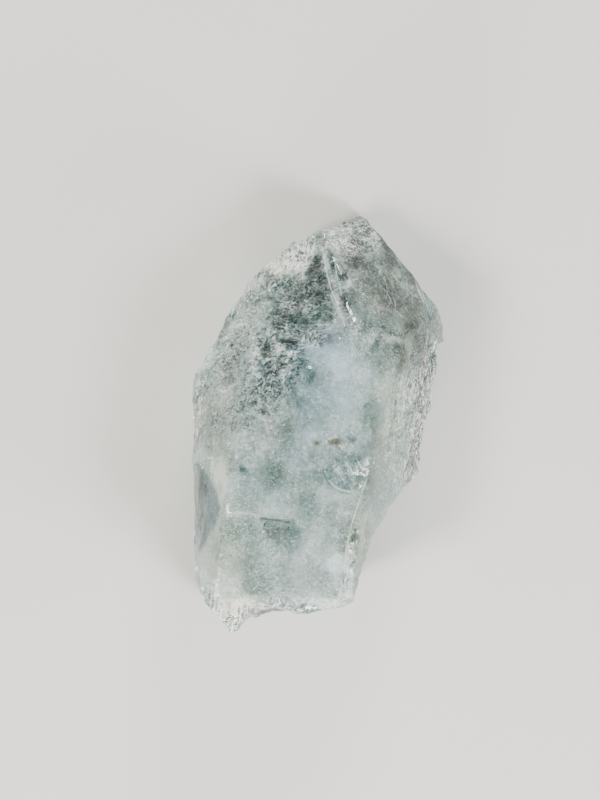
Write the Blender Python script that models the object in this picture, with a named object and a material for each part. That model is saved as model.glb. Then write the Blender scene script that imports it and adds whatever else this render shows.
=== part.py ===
"""Aquamarine crystal: one broken six-sided prism of beryl, lying on its back face.

Metres, +Z up. The crystal's long (c) axis runs along +Y, with the broken foot at -Y and the end that it
grew towards at +Y. The wide front face looks up, and the opposite prism face lies on the surface. The
origin is the middle of the underside of its box.

The crystal is built as it came to be: a striated prism, the faces that cap it, the rough breaks that
took off its foot, its left shoulder and its right ridge, and then the hollows, chips and etch pits.
"""

import math
import random

import bmesh
import bpy
from mathutils import Vector, noise

MM = 0.001

# The hexagonal prism, seen from its foot: X across, Z up. All its corners are 120 degrees.
THICKNESS = 19.0 * MM  # from the back face to the front face
FRONT_LEFT = -8.6 * MM  # the front face's two long edges
FRONT_RIGHT = 5.6 * MM
RIGHT_RIDGE = 12.6 * MM  # the two outermost ridges
LEFT_RIDGE = -14.6 * MM
UNCUT_FOOT = -28.0 * MM  # the prism before its ends are cut
UNCUT_TIP = 28.0 * MM
SIDE_SLOPE = math.tan(math.radians(60))

# Growth striations: long low terraces along the c axis.
STRIATION_DEPTH = 0.18 * MM
STRIATION_RISER = 0.18 * MM  # how wide the slope between two terraces is
SHALLOWEST_STEP = 0.02 * MM  # a lower step than this is left out
TERRACES = {"front": 6, "right": 7, "lower_right": 5, "back": 1, "lower_left": 4, "left": 5}

# Pyramid faces {11-21}: each leans 44.9 degrees from the c axis and caps one prism ridge. The taper
# face leans far less.
PYRAMID_RISE = 90 - 44.9  # degrees that a pyramid face's outward direction rises towards +Y
TAPER_RISE = 13.6

# Breaks.
CUTTER_REACH = 26.0 * MM  # how far a cutter runs out past the crystal
CELL_JITTER = 0.3  # how far a corner of a break's net strays, as a share of its cell
HOLLOW_REACH = 9.0 * MM  # how far a shell-shaped hollow and its ripples spread
RIPPLE_WIDTH = 2.0 * MM
GRAIN_SIZE = 1.6 * MM
RISER_SHARE = 0.28  # how much of each ledge is its steep riser
SEED_SPACING = 13.7  # how far apart two seeds' noise is read
SEED = 7


def clear_scene():
    for obj in list(bpy.data.objects):
        bpy.data.objects.remove(obj)


def direction(azimuth_deg, rise_deg):
    """A unit vector: azimuth from +X towards +Z round the c axis, rise from that ring towards +Y."""
    azimuth, rise = math.radians(azimuth_deg), math.radians(rise_deg)
    return Vector(
        (math.cos(azimuth) * math.cos(rise), math.sin(rise), math.sin(azimuth) * math.cos(rise))
    )


def mesh_object(name, bm):
    mesh = bpy.data.meshes.new(name)
    bmesh.ops.recalc_face_normals(bm, faces=bm.faces)
    bm.to_mesh(mesh)
    bm.free()
    obj = bpy.data.objects.new(name, mesh)
    bpy.context.scene.collection.objects.link(obj)
    return obj


# ---------------------------------------------------------------- the prism


def prism_corners():
    """The six corners of the cross-section as (x, z), from the front face's left edge, clockwise."""
    right_z = THICKNESS - (RIGHT_RIDGE - FRONT_RIGHT) * SIDE_SLOPE
    left_z = THICKNESS - (FRONT_LEFT - LEFT_RIDGE) * SIDE_SLOPE
    return [
        ("front", FRONT_LEFT, THICKNESS),
        ("right", FRONT_RIGHT, THICKNESS),
        ("lower_right", RIGHT_RIDGE, right_z),
        ("back", RIGHT_RIDGE - right_z / SIDE_SLOPE, 0.0),
        ("lower_left", LEFT_RIDGE + left_z / SIDE_SLOPE, 0.0),
        ("left", LEFT_RIDGE, left_z),
    ]


def terraced_edge(start, end, count, rng):
    """Points from start to end, excluding end, that step in and out by growth terraces."""
    along = end - start
    inward = Vector((along.y, -along.x)).normalized()
    widths = [rng.uniform(0.6, 1.4) for _ in range(count)]
    shares = [sum(widths[: i + 1]) / sum(widths) for i in range(count - 1)]
    depths = [rng.uniform(0.25, 1.0) * STRIATION_DEPTH * (i % 2) for i in range(count)]
    depths[-1] = 0.0
    points = [start]
    for share, before, after in zip(shares, depths, depths[1:]):
        if abs(before - after) < SHALLOWEST_STEP:
            continue
        middle = start + along * share
        half_riser = along.normalized() * STRIATION_RISER / 2
        points += [middle - half_riser + inward * before, middle + half_riser + inward * after]
    return points


def striated_outline():
    rng = random.Random(SEED)
    corners = prism_corners()
    outline = []
    for i, (face, x, z) in enumerate(corners):
        _, next_x, next_z = corners[(i + 1) % len(corners)]
        outline += terraced_edge(Vector((x, z)), Vector((next_x, next_z)), TERRACES[face], rng)
    return outline


def striated_prism(material):
    bm = bmesh.new()
    foot = bm.faces.new([bm.verts.new((p.x, UNCUT_FOOT, p.y)) for p in striated_outline()])
    grown = bmesh.ops.extrude_face_region(bm, geom=[foot])
    tip = [v for v in grown["geom"] if isinstance(v, bmesh.types.BMVert)]
    bmesh.ops.translate(bm, verts=tip, vec=(0, UNCUT_TIP - UNCUT_FOOT, 0))
    crystal = mesh_object("aquamarine_crystal", bm)
    crystal.data.materials.append(material)
    return crystal


# ---------------------------------------------------------------- cutters


def fractal(u, v, wavelength, seed, octaves=4):
    """Fractal noise, roughly -1 to 1, whose largest bumps are a wavelength apart."""
    place = Vector((u / wavelength, v / wavelength, SEED_SPACING * seed))
    return noise.fractal(place, 0.9, 2.0, octaves, noise_basis="PERLIN_ORIGINAL")


def ledges(value, step):
    """Turns a smooth height into treads and steep risers."""
    tread = math.floor(value / step)
    within = value / step - tread
    return step * (tread + max(within - 1 + RISER_SHARE, 0.0) / RISER_SHARE)


def rough_relief(seed, lump=0.0, lump_size=8 * MM, ledge=0.0, grain=0.0, bowl=0.0, ripple=0.0):
    """A height function for a break: lumps, hackly ledges, fine grain, a hollow and its ripples."""

    def height(u, v):
        h = lump * fractal(u, v, lump_size, seed)
        if ledge:
            h = ledges(h + 0.25 * ledge * fractal(u, v, 0.5 * lump_size, seed + 3), ledge)
        from_hollow = math.hypot(u + 0.2 * lump_size, v - 0.3 * lump_size)
        h -= bowl * math.exp(-((from_hollow / HOLLOW_REACH) ** 2))
        h += ripple * math.sin(math.tau * from_hollow / RIPPLE_WIDTH) * math.exp(-from_hollow / HOLLOW_REACH)
        return h + grain * fractal(u, v, GRAIN_SIZE, seed + 5, octaves=3)

    return height


def break_cutter(name, point, normal, width, height, cell, relief):
    """A block past a rough break. Its near side is a net square to normal, through point."""
    rng = random.Random(name)
    bm = bmesh.new()
    bmesh.ops.create_grid(bm, x_segments=round(width / cell), y_segments=round(height / cell), size=0.5)
    for v in bm.verts:
        stray = 0.0 if v.is_boundary else CELL_JITTER * cell
        v.co.x = v.co.x * width + rng.uniform(-stray, stray)
        v.co.y = v.co.y * height + rng.uniform(-stray, stray)
        v.co.z = relief(v.co.x, v.co.y)
    bmesh.ops.triangulate(bm, faces=bm.faces, quad_method="ALTERNATE")
    grown = bmesh.ops.extrude_face_region(bm, geom=bm.faces)
    far = [v for v in grown["geom"] if isinstance(v, bmesh.types.BMVert)]
    for v in far:
        v.co.z = CUTTER_REACH
    cutter = mesh_object(name, bm)
    cutter.rotation_mode = "QUATERNION"
    cutter.rotation_quaternion = normal.to_track_quat("Z", "Y")
    cutter.location = point
    return cutter


def scoop_cutter(name, scoops, subdivisions, dents):
    """Ellipsoids as (centre, radii) in one mesh, each slightly dented, for hollows, chips and pits."""
    bm = bmesh.new()
    for i, (centre, radii) in enumerate(scoops):
        made = bmesh.ops.create_icosphere(bm, subdivisions=subdivisions, radius=1.0)
        for v in made["verts"]:
            swell = 1 + dents * noise.noise(v.co * 2.3 + Vector((i, 0, 0)))
            v.co = Vector(c + s * r * swell for c, s, r in zip(centre, v.co, radii))
    return mesh_object(name, bm)


def cut(crystal, cutter):
    cutter.hide_render = True
    cutter.display_type = "WIRE"
    modifier = crystal.modifiers.new(cutter.name, "BOOLEAN")
    modifier.operation = "DIFFERENCE"
    modifier.solver = "EXACT"
    modifier.object = cutter


# ---------------------------------------------------------------- the crystal's own cuts


def through(x_mm, y_mm, z_mm):
    return Vector((x_mm, y_mm, z_mm)) * MM


# The faces the crystal grew: a point on each, and its outward direction.
GROWN_FACES = {
    # Seen edge-on from above, over the right ridge.
    "pyramid_over_right_ridge": (through(6.95, 19.05, 9.0), direction(0, PYRAMID_RISE)),
    # Slopes up from the tip to the front face.
    "pyramid_over_front_edge": (through(2.0, 10.6, 19.0), direction(60, PYRAMID_RISE)),
    # A narrow tapering face between the front and right faces, which widens towards the tip.
    "taper_face": (through(5.6, 1.6, 19.0), direction(60, TAPER_RISE)),
}
FACE_SIZE = 46 * MM
FACE_CELL = 1.2 * MM
FACE_RELIEF = {"lump": 0.12 * MM, "lump_size": 3 * MM, "ledge": 0.1 * MM}

# The breaks: a point on each, its outward direction, its net's width, height and cell, and its relief.
BREAKS = {
    # The foot, a rough bevel along its front edge, and its left corner.
    "foot_break": (
        through(-0.4, -20.3, 9.0),
        Vector((0.38, -0.92, -0.06)),
        (34, 30, 1.2),
        {"lump": 0.7 * MM, "ledge": 0.4 * MM, "grain": 0.12 * MM},
    ),
    "foot_bevel": (
        through(-3.2, -20.9, 18.6),
        Vector((0.28, -0.66, 0.70)),
        (26, 16, 0.9),
        {"lump": 0.5 * MM, "lump_size": 3.5 * MM, "ledge": 0.3 * MM, "grain": 0.14 * MM},
    ),
    "foot_left_break": (
        through(-8.9, -21.6, 9.0),
        Vector((-0.73, -0.68, 0.08)),
        (24, 26, 1.3),
        {"lump": 0.5 * MM, "ledge": 0.3 * MM, "grain": 0.1 * MM},
    ),
    # The left side, which was split nearly flat.
    "left_side_break": (
        through(-12.5, -9.5, 9.0),
        Vector((-0.975, -0.16, 0.12)),
        (30, 46, 1.9),
        {"lump": 0.3 * MM, "ledge": 0.16 * MM, "grain": 0.05 * MM},
    ),
    # The left shoulder: two broad slopes up to the front face, and the steep walls under them.
    "front_shoulder_slope": (
        through(2.1, 9.4, 19.0),
        Vector((-0.433, 0.468, 0.770)),
        (34, 34, 1.1),
        {"lump": 0.8 * MM, "bowl": 0.4 * MM, "grain": 0.08 * MM, "ripple": 0.08 * MM},
    ),
    "left_shoulder_slope": (
        through(-9.2, -0.6, 19.1),
        Vector((-0.757, 0.406, 0.510)),
        (34, 40, 1.2),
        {"lump": 0.8 * MM, "lump_size": 6 * MM, "grain": 0.08 * MM, "ripple": 0.08 * MM},
    ),
    "lower_shoulder_wall": (
        through(-12.9, 8.2, 6.0),
        Vector((-0.955, 0.274, -0.10)),
        (24, 26, 1.2),
        {"lump": 0.5 * MM, "lump_size": 5 * MM, "grain": 0.1 * MM},
    ),
    "middle_shoulder_wall": (
        through(-9.5, 15.5, 6.0),
        Vector((-0.822, 0.561, -0.12)),
        (24, 24, 1.2),
        {"lump": 0.4 * MM, "lump_size": 4 * MM, "ledge": 0.3 * MM, "grain": 0.1 * MM},
    ),
    "upper_shoulder_wall": (
        through(-4.8, 20.3, 6.0),
        Vector((-0.60, 0.80, 0.0)),
        (24, 24, 1.2),
        {"lump": 0.6 * MM, "lump_size": 5 * MM, "ledge": 0.3 * MM, "grain": 0.12 * MM},
    ),
    # The very tip.
    "tip_break": (
        through(0.4, 24.25, 0.5),
        Vector((-0.24, 0.93, 0.25)),
        (22, 22, 1.1),
        {"lump": 0.4 * MM, "ledge": 0.2 * MM, "grain": 0.12 * MM},
    ),
    # The blunted corner where the right ridge ends.
    "right_corner_break": (
        through(12.05, 13.0, 7.0),
        Vector((0.88, 0.46, 0.12)),
        (16, 16, 0.9),
        {"lump": 0.3 * MM, "lump_size": 3 * MM, "grain": 0.08 * MM},
    ),
    # The splintered right ridge.
    "right_ridge_break": (
        through(11.9, 1.0, 6.7),
        Vector((0.95, 0.0, 0.31)),
        (20, 20, 0.8),
        {"lump": 0.7 * MM, "lump_size": 2.6 * MM, "ledge": 0.35 * MM, "grain": 0.14 * MM},
    ),
}

# Rounded hollows: a centre and radii in mm.
LOWER_RIGHT_HOLLOW = ((32.2, -19.3, 14.0), (25.9, 25.9, 60.0))  # the long one that took the right ridge
SHELL_CHIPS = (
    ((5.9, -5.3, 20.4), (2.3, 2.6, 2.1)),  # on the front face's right edge
    ((-14.6, -11.2, 16.6), (4.2, 4.8, 5.4)),  # on the left side
    ((-0.6, -23.5, 19.0), (5.0, 3.7, 9.5)),  # the step in the foot
)
ETCH_PITS = (
    ((0.7, 15.8, 15.3), (0.45, 0.7, 0.6)),  # the deep oval one on the pyramid face
    ((3.6, 13.4, 16.5), (0.3, 0.5, 0.4)),
    ((-3.4, -2.2, 19.2), (0.3, 0.6, 0.4)),
    ((9.2, -1.2, 12.9), (0.4, 0.7, 0.4)),
)
CHIP_DENTS = 0.12  # how far a scoop strays from an ellipsoid, as a share of its radius
HOLLOW_DENTS = 0.012

# Flakes lost along the ridges: x and z of the ridge, where it starts and ends in y, and how many.
EDGE_CHIP_RUNS = (
    (FRONT_LEFT, THICKNESS, -19.0 * MM, -3.0 * MM, 5),
    (FRONT_RIGHT, THICKNESS, -17.0 * MM, 1.0 * MM, 6),
)


def grown_faces(crystal):
    for seed, (name, (point, normal)) in enumerate(GROWN_FACES.items()):
        relief = rough_relief(11 + seed, **FACE_RELIEF)
        cut(crystal, break_cutter(name, point, normal, FACE_SIZE, FACE_SIZE, FACE_CELL, relief))


def rough_breaks(crystal):
    for seed, (name, (point, normal, (width, height, cell), relief)) in enumerate(BREAKS.items()):
        cutter = break_cutter(
            name,
            point,
            normal.normalized(),
            width * MM,
            height * MM,
            cell * MM,
            rough_relief(seed, **relief),
        )
        cut(crystal, cutter)


def hollows_and_pits(crystal):
    """The long hollow that took the lower right ridge, the shell-shaped chips and the etch pits."""
    for name, scoops, subdivisions, dents in (
        ("lower_right_hollow", [LOWER_RIGHT_HOLLOW], 5, HOLLOW_DENTS),
        ("shell_chips", SHELL_CHIPS, 3, CHIP_DENTS),
        ("etch_pits", ETCH_PITS, 2, CHIP_DENTS),
    ):
        in_metres = [(through(*centre), through(*radii)) for centre, radii in scoops]
        cut(crystal, scoop_cutter(name, in_metres, subdivisions, dents))


def edge_chips(crystal):
    """One flake somewhere in each equal stretch of a ridge."""
    rng = random.Random(SEED)
    chips = []
    for x, z, low, high, count in EDGE_CHIP_RUNS:
        stretch = (high - low) / count
        for i in range(count):
            half_long = rng.uniform(0.15, 0.45) * stretch
            y = low + (i + rng.uniform(0.45, 0.55)) * stretch
            radius = rng.uniform(0.4, 1.0) * MM
            lift = rng.uniform(0.45, 0.65) * radius  # its middle is outside the stone, so it cuts shallowly
            outward = Vector((0.5 if x > 0 else -0.5, 0.0, 0.87))
            chips.append((Vector((x, y, z)) + lift * outward, Vector((radius, half_long, radius))))
    cut(crystal, scoop_cutter("edge_chips", chips, 2, CHIP_DENTS))


def settle_on_origin(crystal):
    """Moves the crystal and its cutters so that the middle of the box's underside is at the origin."""
    bpy.context.view_layer.update()
    cut_crystal = crystal.evaluated_get(bpy.context.evaluated_depsgraph_get())
    corners = [Vector(corner) for corner in cut_crystal.bound_box]
    low = Vector(map(min, *corners))
    high = Vector(map(max, *corners))
    shift = Vector((-(low.x + high.x) / 2, -(low.y + high.y) / 2, -low.z))
    for obj in bpy.data.objects:
        obj.location += shift


def beryl():
    material = bpy.data.materials.new("aquamarine")
    material.use_nodes = True
    shader = material.node_tree.nodes["Principled BSDF"]
    shader.inputs["Base Color"].default_value = (0.62, 0.76, 0.75, 1)
    shader.inputs["Roughness"].default_value = 0.12
    shader.inputs["Metallic"].default_value = 0.0
    shader.inputs["Transmission Weight"].default_value = 1.0
    shader.inputs["IOR"].default_value = 1.577
    return material


def main():
    clear_scene()
    crystal = striated_prism(beryl())
    grown_faces(crystal)
    rough_breaks(crystal)
    hollows_and_pits(crystal)
    edge_chips(crystal)
    settle_on_origin(crystal)


main()
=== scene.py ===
import math

import bpy
import numpy as np
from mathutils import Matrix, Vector, noise
from mathutils.bvhtree import BVHTree


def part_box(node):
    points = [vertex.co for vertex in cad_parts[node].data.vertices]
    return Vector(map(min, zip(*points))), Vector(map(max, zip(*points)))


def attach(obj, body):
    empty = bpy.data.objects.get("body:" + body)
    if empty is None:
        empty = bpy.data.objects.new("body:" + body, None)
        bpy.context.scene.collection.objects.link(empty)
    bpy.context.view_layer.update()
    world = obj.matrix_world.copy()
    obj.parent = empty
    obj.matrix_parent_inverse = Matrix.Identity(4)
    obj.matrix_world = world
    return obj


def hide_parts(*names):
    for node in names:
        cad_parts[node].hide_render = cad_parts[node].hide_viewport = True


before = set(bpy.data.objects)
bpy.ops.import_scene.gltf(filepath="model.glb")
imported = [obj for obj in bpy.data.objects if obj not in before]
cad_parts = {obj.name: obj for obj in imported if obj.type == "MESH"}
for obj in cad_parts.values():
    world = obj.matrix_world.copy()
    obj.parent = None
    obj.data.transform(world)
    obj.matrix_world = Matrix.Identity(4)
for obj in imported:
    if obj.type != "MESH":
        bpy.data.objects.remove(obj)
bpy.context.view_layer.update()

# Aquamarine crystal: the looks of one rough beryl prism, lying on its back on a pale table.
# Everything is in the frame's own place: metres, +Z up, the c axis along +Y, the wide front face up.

mm = 0.001
crystalNode = "aquamarine_crystal"
low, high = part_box(crystalNode)


def toLinear(hexColour):
    # sRGB hex to the linear values that shaders take
    channels = [int(hexColour[i : i + 2], 16) / 255 for i in (1, 3, 5)]
    return tuple(c / 12.92 if c <= 0.04045 else ((c + 0.055) / 1.055) ** 2.4 for c in channels)


def addNode(tree, kind, settings=None, links=None):
    # settings name a property or an input socket, or give a ramp's stops as (place, hex colour or grey);
    # links map an input to (node, output)
    node = tree.nodes.new(kind)
    for name, value in (settings or {}).items():
        if name == "stops":
            band = node.color_ramp
            while len(band.elements) < len(value):
                band.elements.new(1.0)
            for element, (position, tone) in zip(band.elements, value):
                element.position = position
                element.color = (*toLinear(tone), 1) if isinstance(tone, str) else (tone, tone, tone, 1)
        elif isinstance(name, str) and hasattr(node, name):
            setattr(node, name, value)
        else:
            node.inputs[name].default_value = value
    for name, (source, output) in (links or {}).items():
        tree.links.new(source.outputs[output], node.inputs[name])
    return node


mixA, mixB, mixResult = 6, 7, 2  # a colour Mix node's sockets, which share their names with others


def startMaterial(name):
    material = bpy.data.materials.new(name)
    material.use_nodes = True
    material.node_tree.nodes.clear()
    return material, material.node_tree


def mottledMaterial(name, tones, size, roughness, detail):
    # uneven in tone from place to place; size is that of its blotches, in metres
    material, tree = startMaterial(name)
    place = addNode(tree, "ShaderNodeTexCoord")
    noiseSettings = {"Scale": 1 / size, "Detail": detail}
    grain = addNode(tree, "ShaderNodeTexNoise", noiseSettings, {"Vector": (place, "Object")})
    tint = addNode(tree, "ShaderNodeValToRGB", {"stops": tones}, {"Fac": (grain, "Fac")})
    surface = {"Base Color": (tint, "Color")}
    shader = addNode(tree, "ShaderNodeBsdfPrincipled", {"Roughness": roughness}, surface)
    addNode(tree, "ShaderNodeOutputMaterial", links={"Surface": (shader, 0)})
    return material


def addObject(name, data):
    thing = bpy.data.objects.new(name, data)
    bpy.context.scene.collection.objects.link(thing)
    return thing


def placePiece(name, mesh):
    piece = addObject(name, mesh)
    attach(piece, "root")
    return piece


def innerPiece(name, points, faces, material):
    mesh = bpy.data.meshes.new(name)
    mesh.from_pydata(points, [], faces)
    mesh.materials.append(material)
    print(name + ":", len(faces), "faces")
    return placePiece(name, mesh)


# The stone's skin: an even net over the solid, with growth lines, etching and splintery breaks.

skin = {
    "remeshDepth": 8,
    "remeshScale": 0.75,
    "prismNormals": [(math.cos(a), 0, math.sin(a)) for a in np.radians(range(30, 390, 60))],
    "pyramidNormals": [(0.706, 0.708, 0.0), (0.353, 0.708, 0.611)],
    "flatFrom": 0.965,  # how well a patch must face the same way as a grown face to count as one
    "flatTo": 0.99,
    # growth lines along the c axis: how far apart and how deep
    "striae": [(1.7 * mm, 0.035 * mm), (0.7 * mm, 0.018 * mm), (0.45 * mm, 0.010 * mm)],
    "striaLength": 22 * mm,
    "easedRidge": ((3.1 * mm, 8.8 * mm), (-8.2 * mm, -1.2 * mm)),
    "easedWidth": 2.4 * mm,
    "easedRounds": 120,
    "wornRounds": 14,
    "chippedRounds": 22,  # the long ridges are knocked about: rounded in some places, sharp in others
    "chippedSize": 2.6 * mm,
    # finer relief: its size and depth, the noise's seed and octaves, and whether it is ridged
    "relief": {
        "etching": (2.4 * mm, 0.075 * mm, 3, 4, False),
        "pricks": (0.75 * mm, 0.016 * mm, 4, 2, False),
        "hackle": (2.2 * mm, 0.22 * mm, 5, 4, False),
        "chips": (1.3 * mm, 0.10 * mm, 6, 3, True),
        "splinters": ((0.8 * mm, 2.4 * mm, 0.8 * mm), 0.34 * mm, 7, 3, True),
    },
    "pit": (1.5, 15.3, 13.4, 0.5, 0.9, 2.0, 1.0),  # one open etch pit, given as a cloud is below
    "pitDepth": 0.30 * mm,
}


def refinedCrystal():
    # the solid's own shape as an even net of about a quarter of a millimetre
    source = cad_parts[crystalNode]
    rough = addObject("roughCrystal", source.data.copy())
    weld = rough.modifiers.new("weld", "WELD")
    weld.merge_threshold = 0.000001
    remesh = rough.modifiers.new("remesh", "REMESH")
    remesh.mode = "SHARP"
    remesh.octree_depth = skin["remeshDepth"]
    remesh.scale = skin["remeshScale"]
    remesh.use_remove_disconnected = True
    bpy.context.view_layer.update()
    evaluated = rough.evaluated_get(bpy.context.evaluated_depsgraph_get())
    mesh = bpy.data.meshes.new_from_object(evaluated)
    bpy.data.objects.remove(rough)
    return mesh


def sampleNoise(points, wavelength, seed, octaves=1, ridged=False):
    # one noise value a point, about -1 to 1; wavelength in metres may differ along x, y and z
    wave = np.broadcast_to(np.asarray(wavelength, float), 3)
    places = points / wave + 17.3 * seed
    if ridged:
        return np.array([noise.ridged_multi_fractal(p, 0.9, 2.1, octaves, 1.0, 2.0) for p in places]) - 1
    if octaves == 1:
        return np.array([noise.noise(p) for p in places])
    return np.array([noise.fractal(p, 0.8, 2.1, octaves) for p in places])


def smoothStep(value, start, end):
    t = np.clip((value - start) / (end - start), 0, 1)
    return t * t * (3 - 2 * t)


def pointsAndNormals(mesh):
    points = np.empty(len(mesh.vertices) * 3)
    normals = np.empty(len(mesh.vertices) * 3)
    mesh.vertices.foreach_get("co", points)
    mesh.vertices.foreach_get("normal", normals)
    return points.reshape(-1, 3), normals.reshape(-1, 3)


def unit(vectors):
    return vectors / np.linalg.norm(vectors, axis=1)[:, None]


def averageOfNeighbours(mesh, values, rounds=1):
    ends = np.empty(len(mesh.edges) * 2, int)
    mesh.edges.foreach_get("vertices", ends)
    first, second = ends.reshape(-1, 2).T
    count = np.bincount(ends, minlength=len(values)).astype(float)
    count = count if values.ndim == 1 else count[:, None]
    for _ in range(rounds):
        total = np.zeros_like(values)
        np.add.at(total, first, values[second])
        np.add.at(total, second, values[first])
        values = total / count
    return values


def blobShare(points, blobs, stray=0.7 * mm):
    # how strongly each point lies in soft ragged clouds
    places = points.copy()
    for axis in range(3):
        places[:, axis] += stray * sampleNoise(points, 2.6 * mm, 40 + axis, octaves=3)
    share = np.zeros(len(points))
    for *shape, strength in blobs:
        middle, radii = np.reshape(shape, (2, 3))
        offset = (places / mm - middle) / radii
        share = np.maximum(share, strength * np.exp(-((offset**2).sum(1) ** 1.5)))
    return share


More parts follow.
